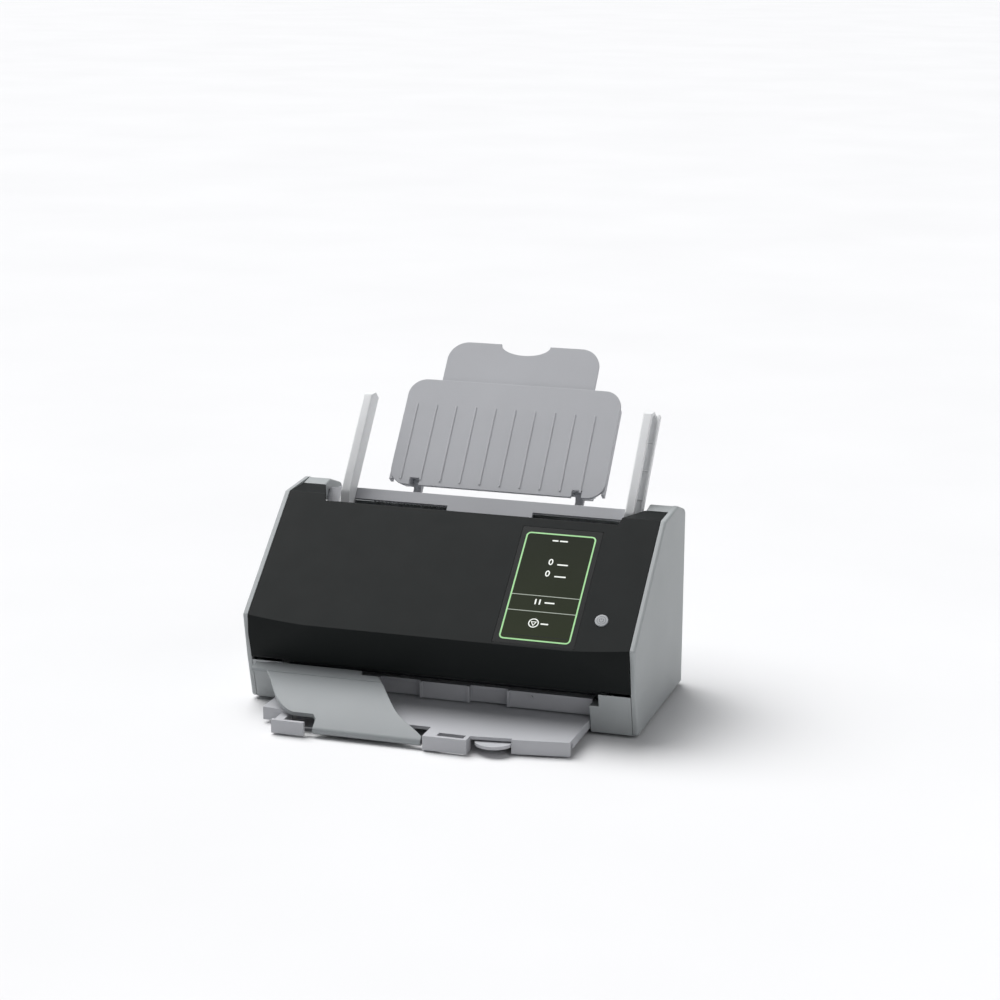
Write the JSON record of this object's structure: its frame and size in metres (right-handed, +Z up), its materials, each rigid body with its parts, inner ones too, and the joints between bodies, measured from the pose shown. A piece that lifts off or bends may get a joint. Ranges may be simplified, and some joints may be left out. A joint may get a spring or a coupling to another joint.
{
  "type": "sheet-fed document scanner",
  "caption": "Desktop sheet-fed document scanner with sloped black front cover, touch display, power button, side guides, paper chute and pull-out stacker.",
  "frame": {"origin": "on the table under the middle of the whole part's bounding box, which is also under the middle of the body's depth", "axes": "+X to the viewer's right when facing the display, -Y towards the viewer, +Z up"},
  "size_m": [0.3, 0.272, 0.245],
  "materials": {
    "grey_plastic": "light grey moulded ABS, fine grain",
    "pale_grey_plastic": "pale grey moulded ABS",
    "black_plastic": "black moulded ABS, fine grain",
    "dark_plastic": "dark glass-filled plastic",
    "white_plastic": "white acetal",
    "rubber": "matt elastomer",
    "steel": "ground steel",
    "zinc_steel": "zinc-plated sheet steel",
    "glass": "clear glass",
    "display_glass": "black-printed touch panel glass",
    "button_grey": "satin grey plastic",
    "board_green": "solder mask on glass-fibre board",
    "chip_black": "moulded component bodies",
    "socket_metal": "nickel-plated shell"
  },
  "bodies": {
    "chassis": {"base_pan": "dark_plastic", "rubber_feet": "rubber", "left_side_cover": "grey_plastic", "right_side_cover": "grey_plastic", "left_lower_front": "grey_plastic", "right_lower_front": "grey_plastic", "rear_cover": "grey_plastic", "left_top_box": "grey_plastic", "right_top_box": "grey_plastic", "left_side_frame": "zinc_steel", "right_side_frame": "zinc_steel", "shaft_bushings": "white_plastic", "gear_axles": "steel", "frame_pins": "steel", "feed_bed": "dark_plastic", "lower_sensor_unit": "dark_plastic", "lower_sensor_glass": "glass", "drive_motor": "zinc_steel", "motor_bracket": "zinc_steel", "exit_guide": "pale_grey_plastic", "hopper_floor": "pale_grey_plastic", "main_board": "board_green", "board_parts": "chip_black", "rear_sockets": "socket_metal", "housing_screws": "steel"},
    "cover": {"front_cover": "black_plastic", "touch_panel_glass": "display_glass", "display_module": "dark_plastic", "display_board": "board_green", "cover_inner_frame": "dark_plastic", "upper_sensor_unit": "dark_plastic", "upper_sensor_glass": "glass", "idler_shafts": "steel"},
    "button": {"power_button": "button_grey"},
    "latch": {"cover_latch": "dark_plastic"},
    "brake": {"brake_roller": "rubber"},
    "upper_feed": {"upper_feed_idlers": "rubber"},
    "upper_exit": {"upper_exit_idlers": "rubber"},
    "pick_drive": {"pick_shaft": "steel", "pick_rollers": "rubber", "pick_gear": "white_plastic"},
    "feed_drive": {"feed_shaft": "steel", "feed_rollers": "rubber", "feed_gear": "white_plastic"},
    "exit_drive": {"exit_shaft": "steel", "exit_rollers": "rubber", "exit_gear": "white_plastic"},
    "motor_rotor": {"motor_pinion": "white_plastic"},
    "pick_idler": {"pick_idler_gear": "white_plastic"},
    "exit_idler": {"exit_idler_gear": "white_plastic"},
    "tray": {"stacker_tray": "pale_grey_plastic", "flap_pin": "dark_plastic"},
    "tongue": {"tray_extension": "pale_grey_plastic"},
    "flap": {"stacker_flap": "grey_plastic"},
    "chute": {"paper_chute": "pale_grey_plastic", "chute_hinge_rod": "steel"},
    "chute_slide": {"chute_extension": "pale_grey_plastic"},
    "left_guide": {"left_side_guide": "pale_grey_plastic"},
    "right_guide": {"right_side_guide": "pale_grey_plastic"},
    "guide_gear": {"guide_pinion": "white_plastic"}
  },
  "joints": [
    {"name": "cover_hinge", "type": "hinge", "parent": "chassis", "child": "cover", "pos_m": [0, -0.0665, 0.0395], "axis": [1, 0, 0], "range_deg": [0, 55]},
    {"name": "power_button_press", "type": "slide", "parent": "cover", "child": "button", "axis": [0, 0.6491, -0.7607], "range_m": [0, 0.001], "stiffness_N_per_m": 250, "springref_m": -0.001},
    {"name": "latch_turn", "type": "hinge", "parent": "cover", "child": "latch", "pos_m": [0, 0.00558, 0.12928], "axis": [1, 0, 0], "range_deg": [0, 13], "stiffness_Nm_per_rad": 0.08, "springref_deg": -17.19},
    {"name": "brake_roller_spin", "type": "hinge", "parent": "cover", "child": "brake", "pos_m": [0, 0.0049, 0.10667], "axis": [1, 0, 0], "continuous": true},
    {"name": "upper_feed_spin", "type": "hinge", "parent": "cover", "child": "upper_feed", "pos_m": [0, -0.00536, 0.08924], "axis": [1, 0, 0], "continuous": true},
    {"name": "upper_exit_spin", "type": "hinge", "parent": "cover", "child": "upper_exit", "pos_m": [0, -0.04437, 0.04105], "axis": [1, 0, 0], "continuous": true},
    {"name": "feed_spin", "type": "hinge", "parent": "chassis", "child": "feed_drive", "pos_m": [0, 0.00521, 0.08068], "axis": [1, 0, 0], "continuous": true},
    {"name": "pick_spin", "type": "hinge", "parent": "chassis", "child": "pick_drive", "pos_m": [0, 0.02013, 0.09433], "axis": [1, 0, 0], "continuous": true},
    {"name": "exit_spin", "type": "hinge", "parent": "chassis", "child": "exit_drive", "pos_m": [0, -0.0338, 0.03249], "axis": [1, 0, 0], "continuous": true},
    {"name": "motor_spin", "type": "hinge", "parent": "chassis", "child": "motor_rotor", "pos_m": [0, 0.02915, 0.06861], "axis": [1, 0, 0], "continuous": true},
    {"name": "pick_idler_spin", "type": "hinge", "parent": "chassis", "child": "pick_idler", "pos_m": [0, 0.02015, 0.07933], "axis": [1, 0, 0], "continuous": true},
    {"name": "exit_idler_spin", "type": "hinge", "parent": "chassis", "child": "exit_idler", "pos_m": [0, -0.0143, 0.05659], "axis": [1, 0, 0], "continuous": true},
    {"name": "tray_slide", "type": "slide", "parent": "chassis", "child": "tray", "axis": [0, -1, 0], "range_m": [0, 0.04]},
    {"name": "tongue_slide", "type": "slide", "parent": "tray", "child": "tongue", "axis": [0, -1, 0], "range_m": [0, 0.055]},
    {"name": "flap_hinge", "type": "hinge", "parent": "tray", "child": "flap", "pos_m": [0, -0.1305, 0.0055], "axis": [1, 0, 0], "range_deg": [0, 135]},
    {"name": "chute_hinge", "type": "hinge", "parent": "chassis", "child": "chute", "pos_m": [0, 0.06425, 0.14611], "axis": [1, 0, 0], "range_deg": [0, 60]},
    {"name": "chute_extension_slide", "type": "slide", "parent": "chute", "child": "chute_slide", "axis": [0, 0.6293, 0.7771], "range_m": [-0.04, 0]},
    {"name": "left_guide_slide", "type": "slide", "parent": "chassis", "child": "left_guide", "axis": [-1, 0, 0], "range_m": [-0.07, 0]},
    {"name": "right_guide_slide", "type": "slide", "parent": "chassis", "child": "right_guide", "axis": [1, 0, 0], "range_m": [-0.07, 0]},
    {"name": "guide_pinion_turn", "type": "hinge", "parent": "chassis", "child": "guide_gear", "pos_m": [0.0045, 0.03793, 0.13268], "axis": [0, -0.7771, 0.6293], "range_deg": [-670, 2]}
  ],
  "couplings": [
    {"joint": "pick_idler_spin", "follows": "feed_spin", "ratio": -0.875},
    {"joint": "pick_spin", "follows": "feed_spin", "ratio": 1},
    {"joint": "motor_spin", "follows": "feed_spin", "ratio": 1.1667},
    {"joint": "exit_idler_spin", "follows": "feed_spin", "ratio": -0.29167},
    {"joint": "exit_spin", "follows": "feed_spin", "ratio": 1},
    {"joint": "right_guide_slide", "follows": "left_guide_slide", "ratio": 1},
    {"joint": "guide_pinion_turn", "follows": "left_guide_slide", "rad_per_m": 166.67}
  ]
}
